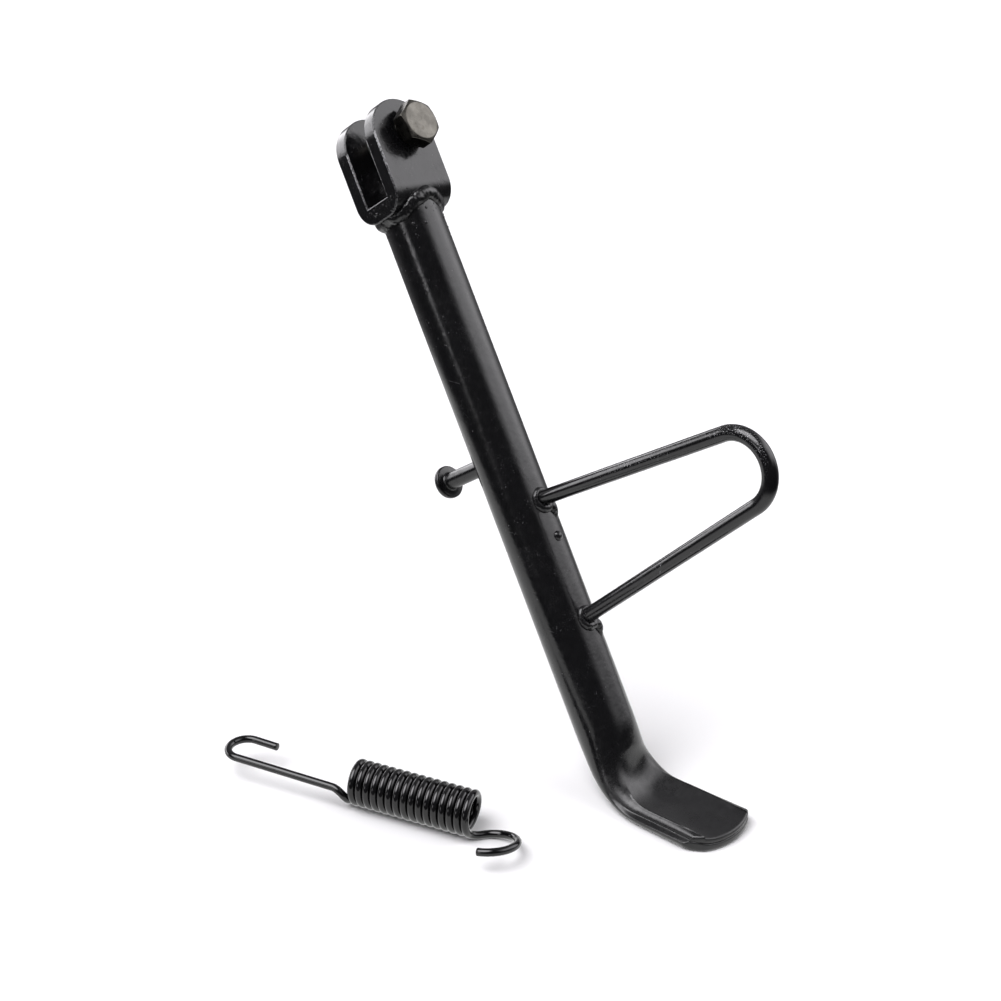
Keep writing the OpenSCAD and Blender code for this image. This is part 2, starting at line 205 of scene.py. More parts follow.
def nd(nt, kind, **kw):
    n = nt.nodes.new(kind)
    for k, v in kw.items():
        if k in n.bl_rna.properties.keys():
            setattr(n, k, v)
        else:
            n.inputs[k].default_value = v
    return n


def noise_tex(nt, co, scale, detail=4, rough=0.55, distort=0.0):
    n = nd(nt, "ShaderNodeTexNoise")
    n.inputs["Scale"].default_value = scale
    n.inputs["Detail"].default_value = detail
    n.inputs["Roughness"].default_value = rough
    n.inputs["Distortion"].default_value = distort
    nt.links.new(co, n.inputs["Vector"])
    return n.outputs["Fac"]


def ramp(nt, src, lo, hi, a=0.0, b=1.0):
    n = nd(nt, "ShaderNodeMapRange")
    n.interpolation_type = "SMOOTHSTEP"
    n.inputs["From Min"].default_value = lo
    n.inputs["From Max"].default_value = hi
    n.inputs["To Min"].default_value = a
    n.inputs["To Max"].default_value = b
    nt.links.new(src, n.inputs["Value"])
    return n.outputs["Result"]


def mathn(nt, op, a, b=None, clamp=False):
    n = nd(nt, "ShaderNodeMath", operation=op)
    n.use_clamp = clamp
    for i, s in enumerate((a, b)):
        if s is None:
            continue
        if isinstance(s, (int, float)):
            n.inputs[i].default_value = s
        else:
            nt.links.new(s, n.inputs[i])
    return n.outputs[0]


def mixc(nt, fac, a, b):
    n = nd(nt, "ShaderNodeMix", data_type="RGBA")
    for i, s in ((0, fac), (6, a), (7, b)):
        if isinstance(s, (int, float)):
            n.inputs[i].default_value = s
        elif isinstance(s, tuple):
            n.inputs[i].default_value = (*s, 1.0)
        else:
            nt.links.new(s, n.inputs[i])
    return n.outputs[2]


def scaled(nt, co, scale, rot=(0, 0, 0)):
    n = nd(nt, "ShaderNodeMapping")
    n.inputs["Scale"].default_value = scale
    n.inputs["Rotation"].default_value = rot
    nt.links.new(co, n.inputs["Vector"])
    return n.outputs[0]


def paint(name, base=(0.0030, 0.0030, 0.0035), ior=1.5, rough=0.17, var=0.07, peel=0.10, dust=1.0, scratch=1.0, chips_and_highlight=0.0, grit=0.0, wave=0.0, satin=0.0, rot=(0, 0, 0)):
    """Black paint on steel: orange peel, uneven gloss, dust specks, fine scratches, and light chips along marked edges
    that are partly wear and partly a painted highlight.
    """
    m, nt, bs = new_mat(name)
    co = nd(nt, "ShaderNodeTexCoord").outputs["Object"]
    big = noise_tex(nt, co, 90, 3)
    mid = noise_tex(nt, co, 420, 4)
    fine = noise_tex(nt, co, 2600, 3)
    # gloss
    r = mathn(nt, "ADD", ramp(nt, big, 0.3, 0.7, rough - var * 0.6, rough + var * 0.6), ramp(nt, fine, 0.35, 0.75, -0.02, 0.05))
    r = mathn(nt, "ADD", r, ramp(nt, mid, 0.35, 0.7, -0.035, 0.06))
    # dust: sparse specks
    vor = nd(nt, "ShaderNodeTexVoronoi")
    vor.inputs["Scale"].default_value = 620
    nt.links.new(co, vor.inputs["Vector"])
    dot = ramp(nt, vor.outputs["Distance"], 0.05, 0.16, 1.0, 0.0)
    sel = nd(nt, "ShaderNodeSeparateColor")
    nt.links.new(vor.outputs["Color"], sel.inputs[0])
    pick = ramp(nt, sel.outputs[0], 0.955, 0.965)
    speck = mathn(nt, "MULTIPLY", mathn(nt, "MULTIPLY", dot, pick), 0.55 * dust)
    # scratches: thin streaks in two directions, only in patches
    s1 = noise_tex(nt, scaled(nt, co, (1.0, 1.0, 0.035), rot), 2300, 2, 0.4)
    s2 = noise_tex(nt, scaled(nt, co, (0.05, 1.0, 1.0), (0.4 + rot[0], 0.3 + rot[1], 0.5)), 2000, 2, 0.4)
    patch = ramp(nt, noise_tex(nt, co, 130, 2), 0.56, 0.68)
    sc = mathn(nt, "MULTIPLY", mathn(nt, "MAXIMUM", ramp(nt, s1, 0.66, 0.72), ramp(nt, s2, 0.68, 0.74)), patch)
    sc = mathn(nt, "MULTIPLY", sc, 0.5 * scratch)
    col = mixc(nt, mid, tuple(c * 0.75 for c in base), tuple(c * 1.35 for c in base))
    col = mixc(nt, speck, col, (0.16, 0.16, 0.165))
    col = mixc(nt, sc, col, (0.10, 0.10, 0.105))
    r = mathn(nt, "ADD", r, mathn(nt, "MULTIPLY", mathn(nt, "MAXIMUM", speck, sc), 0.5), clamp=True)
    metal = None
    # light chips where the mesh's 'edge' attribute is set: real wear on some edges, a painted highlight where the
    # attribute marks lit edges and sides
    if chips_and_highlight > 0:
        at = nd(nt, "ShaderNodeAttribute", attribute_name="edge")
        ragged = noise_tex(nt, co, 1900, 5, 0.7)
        e = mathn(nt, "MULTIPLY", at.outputs["Fac"], ramp(nt, ragged, 0.63 - 0.10 * chips_and_highlight, 0.68 - 0.10 * chips_and_highlight))
        col = mixc(nt, e, col, (0.42, 0.42, 0.43))
        r = mathn(nt, "ADD", r, mathn(nt, "MULTIPLY", e, 0.25), clamp=True)
    if satin > 0:
        sa = nd(nt, "ShaderNodeAttribute", attribute_name="satin").outputs["Fac"]
        r = mathn(nt, "ADD", r, mathn(nt, "MULTIPLY", sa, satin), clamp=True)
        col = mixc(nt, sa, col, (0.0065, 0.0065, 0.007))
    nt.links.new(col, bs.inputs["Base Color"])
    nt.links.new(r, bs.inputs["Roughness"])
    bs.inputs["IOR"].default_value = ior
    # orange peel and grit
    h = mathn(nt, "ADD", mathn(nt, "MULTIPLY", noise_tex(nt, co, 700, 2), 1.0), mathn(nt, "MULTIPLY", fine, 0.25 + 2.2 * grit))
    h = mathn(nt, "ADD", h, mathn(nt, "MULTIPLY", speck, 0.5))
    if wave > 0:  # shallow dents and hammered spots
        h = mathn(nt, "ADD", h, mathn(nt, "MULTIPLY", noise_tex(nt, co, 170, 2), 3.0 * wave))
    bump = nd(nt, "ShaderNodeBump")
    bump.inputs["Strength"].default_value = peel
    bump.inputs["Distance"].default_value = 0.0002
    nt.links.new(h, bump.inputs["Height"])
    nt.links.new(bump.outputs[0], bs.inputs["Normal"])
    return m


def steel(name, base=(0.33, 0.31, 0.28), rough=0.42, metallic=1.0, lines=1.0):
    """Dull plated steel with turning marks, stains and small dents."""
    m, nt, bs = new_mat(name)
    co = nd(nt, "ShaderNodeTexCoord").outputs["Object"]
    big = noise_tex(nt, co, 160, 4, 0.6)
    stain = noise_tex(nt, co, 420, 5, 0.65, 0.6)
    fine = noise_tex(nt, co, 3000, 3)
    col = mixc(nt, ramp(nt, big, 0.3, 0.7), tuple(c * 0.78 for c in base), tuple(c * 1.15 for c in base))
    col = mixc(nt, ramp(nt, stain, 0.55, 0.75, 0.0, 0.55), col, (base[0] * 0.62, base[1] * 0.55, base[2] * 0.42))
    nt.links.new(col, bs.inputs["Base Color"])
    nt.links.new(mathn(nt, "ADD", ramp(nt, stain, 0.3, 0.7, rough - 0.06, rough + 0.12), ramp(nt, fine, 0.3, 0.7, -0.03, 0.05)), bs.inputs["Roughness"])
    bs.inputs["Metallic"].default_value = metallic
    streak = noise_tex(nt, scaled(nt, co, (0.06, 1.0, 1.0), (0.0, LEAN, 0.6)), 2600, 2)
    h = mathn(nt, "ADD", mathn(nt, "MULTIPLY", streak, 0.6 * lines), mathn(nt, "MULTIPLY", fine, 0.5))
    bump = nd(nt, "ShaderNodeBump")
    bump.inputs["Strength"].default_value = 0.22
    bump.inputs["Distance"].default_value = 0.0002
    nt.links.new(h, bump.inputs["Height"])
    nt.links.new(bump.outputs[0], bs.inputs["Normal"])
    return m


leg_rot = (0.0, -LEAN, 0.0)
M_TUBE = paint("leg_black_paint", rough=0.18, dust=1.3, scratch=0.9, peel=0.14, wave=1.3, satin=0.13, rot=leg_rot)
M_BRACKET = paint("bracket_black_paint", rough=0.17, var=0.12, dust=1.4, scratch=0.9, chips_and_highlight=1.6, peel=0.20, wave=0.5, rot=leg_rot)
M_ROD = paint("rod_black_paint", rough=0.15, var=0.05, dust=1.5, scratch=2.0, peel=0.10, chips_and_highlight=0.5)
M_POST = paint("post_black_paint", rough=0.20, dust=0.6, scratch=0.3)
M_WELD = paint("weld_black_paint", base=(0.0045, 0.0045, 0.005), rough=0.20, var=0.10, peel=0.30, dust=1.4, scratch=0.0, grit=0.25)
M_SPRING = paint("spring_black_coating", base=(0.0022, 0.0022, 0.0026), ior=1.5, rough=0.085, var=0.04, peel=0.04, dust=0.4, scratch=0.5)
M_STEEL = steel("bolt_plated_steel", base=(0.105, 0.100, 0.089), rough=0.27)
M_NUT = steel("nut_plated_steel", base=(0.12, 0.113, 0.10), rough=0.34)


def finish_piece(ob, mat, body, nodes):
    ob.data.materials.clear()
    ob.data.materials.append(mat)
    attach(ob, body)
    if nodes:
        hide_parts(*nodes)
    return ob


# ---------------------------------------------------------------- leg tube and foot, one pressed tube
FOOT_W, FOOT_T, REACH, HEEL_R, TIP_R, TIP_OFF, DISH = 34.6, 7.0, 205.6, 27.0, 27.0, 3.0, 1.3
fh = FOOT_T / 2
leg_top = row([0, -OFF, -RISE])[0]
corner_t = (SOLE + fh - leg_top[2]) / -AL[2]
corner = leg_top - corner_t * AL
turn = math.acos(-AL[0])
tangent_len = HEEL_R * math.tan(turn / 2)
heel_start = corner + tangent_len * AL
ex = np.array([1.0, 0, 0])
side_in = unit(ex - (ex @ AL) * AL)
arc_len = HEEL_R * turn
FLAT0, FLAT1 = -13.0, arc_len + 5
VALLEY, VAL0, VAL1, VAL2, VAL3 = 1.5, -2.0, arc_len * 0.75, arc_len * 0.8, arc_len + 30


def heel_pos(s):
    if s <= 0:
        return heel_start - s * AL
    if s < arc_len:
        a = s / HEEL_R
        return heel_start + HEEL_R * (-math.sin(a) * AL + (1 - math.cos(a)) * side_in)
    return corner + np.array([tangent_len + s - arc_len, 0, 0])


def heel_dir(s):
    if s <= 0:
        return -AL
    if s < arc_len:
        a = s / HEEL_R
        return -math.cos(a) * AL + math.sin(a) * side_in
    return ex


def stadium(f, a, b):
    c, s, m = math.cos(f), math.sin(f), a - b
    if abs(s) > 1e-6 and abs(a * c / s) <= m:
        return a * c / abs(s), math.copysign(b, s)
    qa = a * c * a * c + b * s * b * s
    qb = -2 * a * abs(c) * m
    qc = m * m - b * b
    k = (-qb + math.sqrt(max(0, qb * qb - 4 * qa * qc))) / (2 * qa)
    return k * a * c, k * b * s


def tip_x(y):
    return REACH - TIP_R + math.sqrt(max(1, TIP_R**2 - (y - TIP_OFF) ** 2))


NF = 176
tt = np.arange(NF) * 2 * np.pi / NF
FA = tt - 0.34 * np.sin(2 * tt)  # closer together at the two folded sides


def foot_ring(s):
    """Section of the pressed tube s millimetres past the start of the heel, as (sideways, up) pairs."""
    e = float(smooth((s - FLAT0) / (FLAT1 - FLAT0)))
    a = TUBE_R + (FOOT_W / 2 - TUBE_R) * e
    b = TUBE_R + (fh - TUBE_R) * e
    g = float(smooth((s - 8) / (arc_len + 4 - 8)))
    m = max(0.1, a - b)
    q = []
    for f in FA:
        y, z = stadium(f, a, b)
        flat_mix = e * e
        y = flat_mix * y + (1 - flat_mix) * a * math.cos(f)
        z = flat_mix * z + (1 - flat_mix) * b * math.sin(f)
        square = float(smooth((s - arc_len - 4) / 66))
        if z > 0 and abs(y) > m:
            z = b * (min(1.0, z / b)) ** (1 - 0.62 * square)
        zr = z / b
        sd = 1.0 if y > 0 else -1.0
        # the upper layer stands back from the lower one, with a crease between them
        near = float(smooth((abs(y) - (m - 1.2)) / 2.2))
        back = 2.3 * float(smooth((zr + 0.02) / 0.30)) + 0.8 * math.exp(-(((zr - 0.16) / 0.13) ** 2))
        y2 = y - sd * back * g * near
        # dished top between two raised rims, and a valley pressed into the inside of the bend
        if z > 0:
            out = float(smooth((s - arc_len) / 70))
            z -= DISH * e * float(smooth((m - 3) / 9)) * max(0.0, 1 - (abs(y) / m) ** (2.0 + 4 * out)) ** (2.0 - 0.8 * out)
            z += 0.25 * g * (1 - 0.7 * out) * math.exp(-(((abs(y) - (m - 0.6)) / 1.6) ** 2))
            vs = float(smooth((s - VAL0) / (VAL1 - VAL0)) * smooth((VAL3 - s) / (VAL3 - VAL2)))
            z -= VALLEY * vs * math.exp(-(((y - 0.8) / 8.5) ** 2))
        q.append((y2, z))
    return q


def place(s, q):
    p, d = heel_pos(s), heel_dir(s)
    lat = unit(np.array([0, 1, 0]) - d[1] * d)
    up = np.cross(d, lat)
    q = np.asarray(q)
    return p + q[:, :1] * lat + q[:, 1:2] * up


def build_leg():
    rings = []
    # top of the tube follows the curved underside of the bracket
    cs, sn = np.cos(FA), np.sin(FA)
    top = -RISE + under(TUBE_R * sn) + 0.35
    s_end = -(np.linalg.norm(heel_start - leg_top)) - RISE  # s at l = 0
    s_of = lambda l: s_end - l + RISE * 2
    l_flat0 = (heel_start - FLAT0 * AL) @ AL
    for k, t in enumerate(np.linspace(0, 1, 9)):
        l = top + (-48 - top) * t
        rings.append(row(np.stack([TUBE_R * sn, -OFF + TUBE_R * cs, l], 1)))
    for l in np.linspace(-54, l_flat0, 22):
        rings.append(row(np.stack([TUBE_R * sn, -OFF + TUBE_R * cs, np.full(NF, l)], 1)))
    for s in np.arange(FLAT0 + 1.2, FLAT1 + 1.2, 1.2):
        rings.append(place(s, foot_ring(s)))
    s1 = FLAT1 + 1.4
    x1 = heel_pos(s1)[0]
    q = np.array(foot_ring(s1))
    q = np.array(foot_ring(s1 + 55))
    edge_x = np.array([tip_x(y) for y in q[:, 0]])
    rounding = 0.9
    # the folded corners are cut back a little, the left one nicked
    cut = np.where(q[:, 0] < 0, 2.4, 0.7) * smooth((np.abs(q[:, 0]) - 12.2) / 4.6)
    nick = 1.2 * np.exp(-(((q[:, 0] + 14.6) / 1.0) ** 2)) * (q[:, 1] > 0.2)
    for u in np.linspace(0.0, 1.0, 26):
        w = place(s1, foot_ring(s1 + 55 * u))
        uu = 1 - (1 - u) ** 1.15
        w[:, 0] = x1 + (edge_x - rounding - cut - nick - x1) * uu
        rings.append(w)
    last = rings[-1].copy()
    v = np.concatenate(rings)
    n = len(rings)
    faces = grid_faces(n, NF)
    # end face: rows between the top chain and the bottom chain, with a seam between the layers
    rows_t = [0.06, 0.14, 0.24, 0.33, 0.38, 0.415, 0.45, 0.50, 0.60, 0.72, 0.84, 0.92, 0.97]
    base = (n - 1) * NF
    verts = list(v)
    half = NF // 2
    chain_top = [base + i for i in range(0, half + 1)]
    chain_bot = [base + (NF - i) % NF for i in range(0, half + 1)]
    prev = chain_top
    for t in rows_t:
        cur = [chain_top[0]]
        prof = rounding * (1 - (max(0, 1 - t / 0.16)) ** 2.2) if t < 0.5 else rounding * (1 - (max(0, (t - 0.80) / 0.20)) ** 2.2)
        prof += -0.6 * math.exp(-(((t - 0.415) / 0.035) ** 2)) + (0.2 if t > 0.43 else 0.0) * (1 - max(0, (t - 0.85) / 0.15))
        for i in range(1, half):
            a, b = verts[chain_top[i]], verts[chain_bot[i]]
            p = a + (b - a) * t
            thick = abs(a[2] - b[2])
            p = p + np.array([prof * min(1.0, thick / 4.0), 0, 0])
            cur.append(len(verts))
            verts.append(p)
        cur.append(chain_top[half])
        for i in range(half):
            quad = (prev[i], prev[i + 1], cur[i + 1], cur[i])
            quad = tuple(dict.fromkeys(quad))
            if len(quad) > 2:
                faces.append(quad)
        prev = cur
    for i in range(half):
        quad = tuple(dict.fromkeys((prev[i], prev[i + 1], chain_bot[i + 1], chain_bot[i])))
        if len(quad) > 2:
            faces.append(quad)
    verts = np.array(verts)
    # hand-pressed unevenness along the foot, never below the sole
    k = smooth((verts[:, 0] - 120) / 30)
    dz = 0.22 * nz(verts, 14, 3.1) * k * (verts[:, 2] > SOLE + 2.5)
    verts[:, 2] += dz
    verts[:, 2] = np.maximum(verts[:, 2], SOLE)
    # closed top, hidden inside the bracket
    c = len(verts)
    verts = np.vstack([verts, row([0, -OFF, -RISE - 20])])
    faces += [(k2, c, (k2 + 1) % NF) for k2 in range(NF)]
    ob = make("leg_tube_skin", verts, faces, 42)
    # the pressed end is more satin than the drawn tube
    at = ob.data.attributes.new("satin", "FLOAT", "POINT")
    at.data.foreach_set("value", smooth(((heel_start @ AL + 6) - verts @ AL) / 22).astype(np.float32))
    return ob


leg = finish_piece(build_leg(), M_TUBE, "leg", ["leg_tube"])


# ---------------------------------------------------------------- clevis bracket
def build_bracket():
    bm = bmesh.new()
    cache = {}

    def V(x, y, z):
        key = (round(x, 4), round(y, 4), round(z, 4))
        if key not in cache:
            cache[key] = bm.verts.new(key)
        return cache[key]

    def F(vs):
        vs = list(dict.fromkeys(vs))
        if len(vs) > 2:
            try:
                bm.faces.new(vs)
            except ValueError:
                pass

    n = 56
    arc = [(EAR_R * math.cos(a), EAR_R * math.sin(a)) for a in np.linspace(0, math.pi, n + 1)]
    bore_r, by, bz = 6.05, OFF, RISE
    bend = [(HALF - BEND_R + BEND_R * math.cos(a), -(U_BOTTOM - BEND_R) - BEND_R * math.sin(a)) for a in np.linspace(0, math.pi / 2, 13)]
    zb = -(U_BOTTOM - BEND_R)
    up_b = [(by + bore_r * math.cos(a), bz + bore_r * math.sin(a)) for a in np.linspace(0, math.pi, 25)]
    lo_b = [(by + bore_r * math.cos(a), bz + bore_r * math.sin(a)) for a in np.linspace(math.pi, 2 * math.pi, 25)]
    for s in (1, -1):
        for x, low in ((s * HALF, zb), (s * SLOT, -SLOT_DEPTH)):
            # upper half and lower half of each ear face, split level with the bolt
            zs = [a for a in arc if a[1] >= bz]
            ys = math.sqrt(EAR_R**2 - bz**2)
            right, left = (ys, bz), (-ys, bz)
            outer_up = [right] + [a for a in arc if a[1] > bz + 1e-6] + [left]
            F([V(x, y, z) for y, z in outer_up] + [V(x, y, z) for y, z in reversed(up_b)])
            low_right = [a for a in arc if a[0] > 0 and a[1] < bz - 1e-6]
            low_left = [a for a in arc if a[0] < 0 and a[1] < bz - 1e-6]
            outer_lo = [left] + sorted(low_left, key=lambda a: -a[1]) + [(-EAR_R, low), (EAR_R, low)] + sorted(low_right, key=lambda a: a[1]) + [right]
            F([V(x, y, z) for y, z in outer_lo] + [V(x, y, z) for y, z in reversed(lo_b)])
        # rim of the ear
        ring = [(ys, bz) if False else a for a in arc]
        full = sorted(set([(round(a[0], 6), round(a[1], 6)) for a in arc] + [(round(ys, 6), bz), (round(-ys, 6), bz)]), key=lambda a: math.atan2(a[1], a[0]) if a[1] > 1e-9 or a[0] > 0 else math.pi)
        for a, b in zip(full[:-1], full[1:]):
            F([V(s * HALF, *a), V(s * HALF, *b), V(s * SLOT, *b), V(s * SLOT, *a)])
        for loop in (up_b, lo_b):
            for a, b in zip(loop[:-1], loop[1:]):
                F([V(s * HALF, *a), V(s * HALF, *b), V(s * SLOT, *b), V(s * SLOT, *a)])
        # outer bend
        for a, b in zip(bend[:-1], bend[1:]):
            F([V(s * a[0], -EAR_R, a[1]), V(s * a[0], EAR_R, a[1]), V(s * b[0], EAR_R, b[1]), V(s * b[0], -EAR_R, b[1])])
    F([V(HALF - BEND_R, -EAR_R, -U_BOTTOM), V(HALF - BEND_R, EAR_R, -U_BOTTOM), V(BEND_R - HALF, EAR_R, -U_BOTTOM), V(BEND_R - HALF, -EAR_R, -U_BOTTOM)])
    F([V(-SLOT, -EAR_R, -SLOT_DEPTH), V(SLOT, -EAR_R, -SLOT_DEPTH), V(SLOT, EAR_R, -SLOT_DEPTH), V(-SLOT, EAR_R, -SLOT_DEPTH)])
    for sy in (-1, 1):
        y = sy * EAR_R
        poly = [(HALF, 0.0)] + bend + [(-a[0], a[1]) for a in reversed(bend)] + [(-HALF, 0.0), (-SLOT, 0.0), (-SLOT, -SLOT_DEPTH), (SLOT, -SLOT_DEPTH), (SLOT, 0.0)]
        F([V(x, y, z) for x, z in poly])
    bmesh.ops.remove_doubles(bm, verts=bm.verts, dist=1e-3)
    bmesh.ops.recalc_face_normals(bm, faces=bm.faces)
    sharp = [e for e in bm.edges if len(e.link_faces) == 2 and e.calc_face_angle(0) > math.radians(50)]
    open_edges = [e for e in bm.edges if len(e.link_faces) != 2]
    if open_edges:
        print("bracket open edges", len(open_edges), [tuple(round(c, 2) for c in e.verts[0].co) for e in open_edges[:4]])
    lay = bm.faces.layers.int.new("bev")
    res = bmesh.ops.bevel(bm, geom=sharp, offset=0.65, offset_type="OFFSET", segments=3, profile=0.55, affect="EDGES", clamp_overlap=True)
    bev = {f.index for f in res["faces"]}
    bevf = set(res["faces"])
    bmesh.ops.triangulate(bm, faces=[f for f in bm.faces if len(f.verts) > 4])
    bm.verts.ensure_lookup_table()
    edge = [1.0 if any(f in bevf for f in v.link_faces) else 0.0 for v in bm.verts]
    co = np.array([v.co[:] for v in bm.verts])
    bm.verts.index_update()
    fs = [[v.index for v in f.verts] for f in bm.faces]
    marked_bevel_faces = {i for i, f in enumerate(bm.faces) if f in bevf}
    bm.free()
    # chips belong on the slot's corners, not round the tops or at the bores; on the near ear's front corner the light
    # chips are partly real wear specks and partly a painted edge highlight along the bevel
    d_slot = np.abs(np.abs(co[:, 0]) - SLOT)
    upright = (d_slot < 2.0) & (co[:, 2] < 1) & (co[:, 2] > -21.8) & (np.abs(co[:, 1]) > 13)
    # the near ear's front corner: light chips here paint the bevel's bright edge highlight as well as a few wear specks
    front_corner_highlight = (np.abs(co[:, 0] - HALF) < 1.2) & (co[:, 1] < -14) & (co[:, 2] < 3) & (co[:, 2] > -14)
    edge = np.array(edge) * np.where(upright | front_corner_highlight, 1.0, 0.15)
    edge = edge * np.where(np.hypot(co[:, 1] - by, co[:, 2] - bz) < 8.5, 0.0, 1.0)
    ob = make("clevis_bracket_skin", row(co + np.array([0, -OFF, -RISE])), fs, 40, edge=edge, edge_faces=marked_bevel_faces)
    mod = ob.modifiers.new("wn", "WEIGHTED_NORMAL")
    mod.keep_sharp = True
    mod.weight = 80
    return ob


bracket = finish_piece(build_bracket(), M_BRACKET, "leg", ["clevis_bracket"])


# ---------------------------------------------------------------- welds
def bead_along(name, centre, out_dir, r, m=22, closed=True, ripple=0.0, n_rip=20, lump=0.3, seed=1.0, flat=1.0):
    """A run of weld along a line of points, with rings like cooled puddles and an uneven surface."""
    centre = np.asarray(centre, float)
    n = len(centre)
    tan = (np.roll(centre, -1, 0) - np.roll(centre, 1, 0)) if closed else np.gradient(centre, axis=0)
    tan /= np.linalg.norm(tan, axis=1)[:, None]
    ang = np.linspace(0, 2 * np.pi, m, endpoint=False)
    v = []
    for i in range(n):
        o = unit(out_dir[i] - tan[i] * (out_dir[i] @ tan[i]))
        g = np.cross(tan[i], o)
        ph = (i / n * n_rip) % 1.0
        rr = (r if np.isscalar(r) else r[i]) * (1 + ripple * (math.sqrt(max(0.0, ph * (1 - ph))) * 2 - 0.8))
        taper = 1.0 if closed else max(0.05, math.sin(math.pi * (i + 0.35) / (n - 0.3)) ** 0.45)
        v.append(centre[i] + rr * taper * (np.cos(ang)[:, None] * o * flat + np.sin(ang)[:, None] * g))
    v = np.concatenate(v)
    c = np.repeat(centre, m, 0)
    d = v - c
    k = nz(v, 2.6, seed) * lump + nz(v, 1.1, seed + 5) * lump * 0.45
    v = c + d * (1 + k[:, None])
    f = grid_faces(n, m)
    if closed:
        f += [((n - 1) * m + k2, (n - 1) * m + (k2 + 1) % m, (k2 + 1) % m, k2) for k2 in range(m)]
    else:
        for e, base in ((0, 0), (1, (n - 1) * m)):
            s = len(v)
            v = np.vstack([v, v[base : base + m].mean(0)[None]])
            f += [(base + k2, base + (k2 + 1) % m, s) for k2 in range(m)]
    return v, f


def join(parts):
    v, f, o = [], [], 0
    for a, b in parts:
        v.append(np.asarray(a))
        f += [tuple(i + o for i in q) for q in b]
        o += len(a)
    return np.concatenate(v), f


# the bead where the tube meets the bracket, heavier and rougher on the -Y side
nb = 300
fb = np.linspace(0, 2 * np.pi, nb, endpoint=False)
cb = np.stack([(TUBE_R - 0.7) * np.cos(fb), (TUBE_R - 0.7) * np.sin(fb), under((TUBE_R - 0.6) * np.cos(fb)) - 0.1], 1)
heavy = smooth((-np.sin(fb) + 0.15) / 0.9)
cb += np.stack([0 * fb, 0 * fb, 0.35 * np.sin(7 * fb) * (0.3 + heavy)], 1)
ob_dir = np.stack([np.cos(fb), np.sin(fb), -0.15 * np.ones(nb)], 1)
rb = 2.95 + 0.35 * heavy + 0.15 * np.sin(3 * fb + 1)
wv, wf = bead_along("w", cb + np.array([0, -OFF, -RISE]), ob_dir, rb, m=26, ripple=0.05, n_rip=26, lump=0.11, seed=1.7)
parts = [(wv, wf)]
# second, shorter run laid over the first where the corner is deepest
f2 = np.linspace(math.radians(-165), math.radians(-62), 90)
c2 = np.stack([(TUBE_R + 1.7) * np.cos(f2), (TUBE_R + 1.4) * np.sin(f2), under((TUBE_R - 0.2) * np.cos(f2)) + 0.9 + 0.7 * np.sin(5 * f2)], 1)
parts.append(bead_along("w2", c2 + np.array([0, -OFF, -RISE]), np.stack([np.cos(f2), np.sin(f2), 0 * f2 - 0.3], 1), 1.5, m=20, closed=False, ripple=0.16, n_rip=11, lump=0.30, seed=4.2))
f3 = np.linspace(math.radians(25), math.radians(150), 80)
c3 = np.stack([(TUBE_R + 1.3) * np.cos(f3), (TUBE_R + 1.2) * np.sin(f3), under((TUBE_R - 0.2) * np.cos(f3)) + 0.6 + 0.4 * np.sin(6 * f3)], 1)
parts.append(bead_along("w3", c3 + np.array([0, -OFF, -RISE]), np.stack([np.cos(f3), np.sin(f3), 0 * f3 - 0.3], 1), 1.2, m=20, closed=False, ripple=0.1, n_rip=12, lump=0.2, seed=8.4))
wv, wf = join(parts)
weld = finish_piece(make("clevis_weld_bead", row(wv), wf, 60), M_WELD, "leg", ["clevis_weld"])


def drop(c, nrm, r, seed, flat=0.62):
    """One drop of spatter, flattened against the surface with normal nrm."""
    bm = bmesh.new()
    bmesh.ops.create_icosphere(bm, subdivisions=2, radius=1.0)
    co = np.array([v.co[:] for v in bm.verts])
    fs = [[v.index for v in f.verts] for f in bm.faces]
    bm.free()
    k = 1 + 0.22 * nz(co, 0.9, seed)
    co = co * k[:, None] * r
    nrm = unit(nrm)
    h = co @ nrm
    co = co - h[:, None] * nrm * (1 - flat)
    return co + c, fs


drops = []
for i in range(46):  # a messy patch of lumps on the -Y side of the bead
    f = math.radians(rng.uniform(-172, -58))
    k = rng.uniform(-0.2, 1.0)
    r = float(rng.uniform(0.5, 1.25))
    p = np.array([(TUBE_R + 1.9 - 0.9 * k) * math.cos(f), (TUBE_R + 1.9 - 0.9 * k) * math.sin(f), float(under((TUBE_R - 0.4) * math.cos(f))) + 0.6 - 3.4 * k])
    drops.append(drop(p + np.array([0, -OFF, -RISE]), [math.cos(f), math.sin(f), -0.5], r, 200 + i * 1.7, flat=0.6))
for i in range(64):
    f = rng.uniform(-math.pi * 0.98, math.pi * 0.6)
    dz = abs(rng.normal(0, 4.5)) + 2.2
    r = float(np.clip(rng.gamma(2.0, 0.17), 0.16, 0.75))
    x, y = TUBE_R * math.cos(f), TUBE_R * math.sin(f)
    z = float(under((TUBE_R - 0.2) * math.cos(f))) - dz
    drops.append(drop(np.array([x, y - OFF, z - RISE]), [math.cos(f), math.sin(f), 0], r, i * 1.3))
for i in range(46):  # on the bracket's bends and the foot of its -Y faces
    if i % 2:
        s = 1 if rng.random() < 0.7 else -1
        a = rng.uniform(0.05, 1.1)
        y = rng.uniform(-14.5, 13)
        p = np.array([s * (HALF - BEND_R + BEND_R * math.cos(a)), y, -(U_BOTTOM - BEND_R) - BEND_R * math.sin(a)])
        nn = [s * math.cos(a), 0, -math.sin(a)]
    else:
        x = rng.uniform(-9, 11)
        z = -SLOT_DEPTH - rng.uniform(0.4, 5.5)
        p, nn = np.array([x, -EAR_R, z]), [0, -1, 0]
    drops.append(drop(p + np.array([0, -OFF, -RISE]), nn, float(np.clip(rng.gamma(2.0, 0.16), 0.15, 0.7)), 90 + i))
dv, df = join(drops)
finish_piece(make("clevis_weld_spatter", row(dv), df, 60), M_WELD, "leg", [])


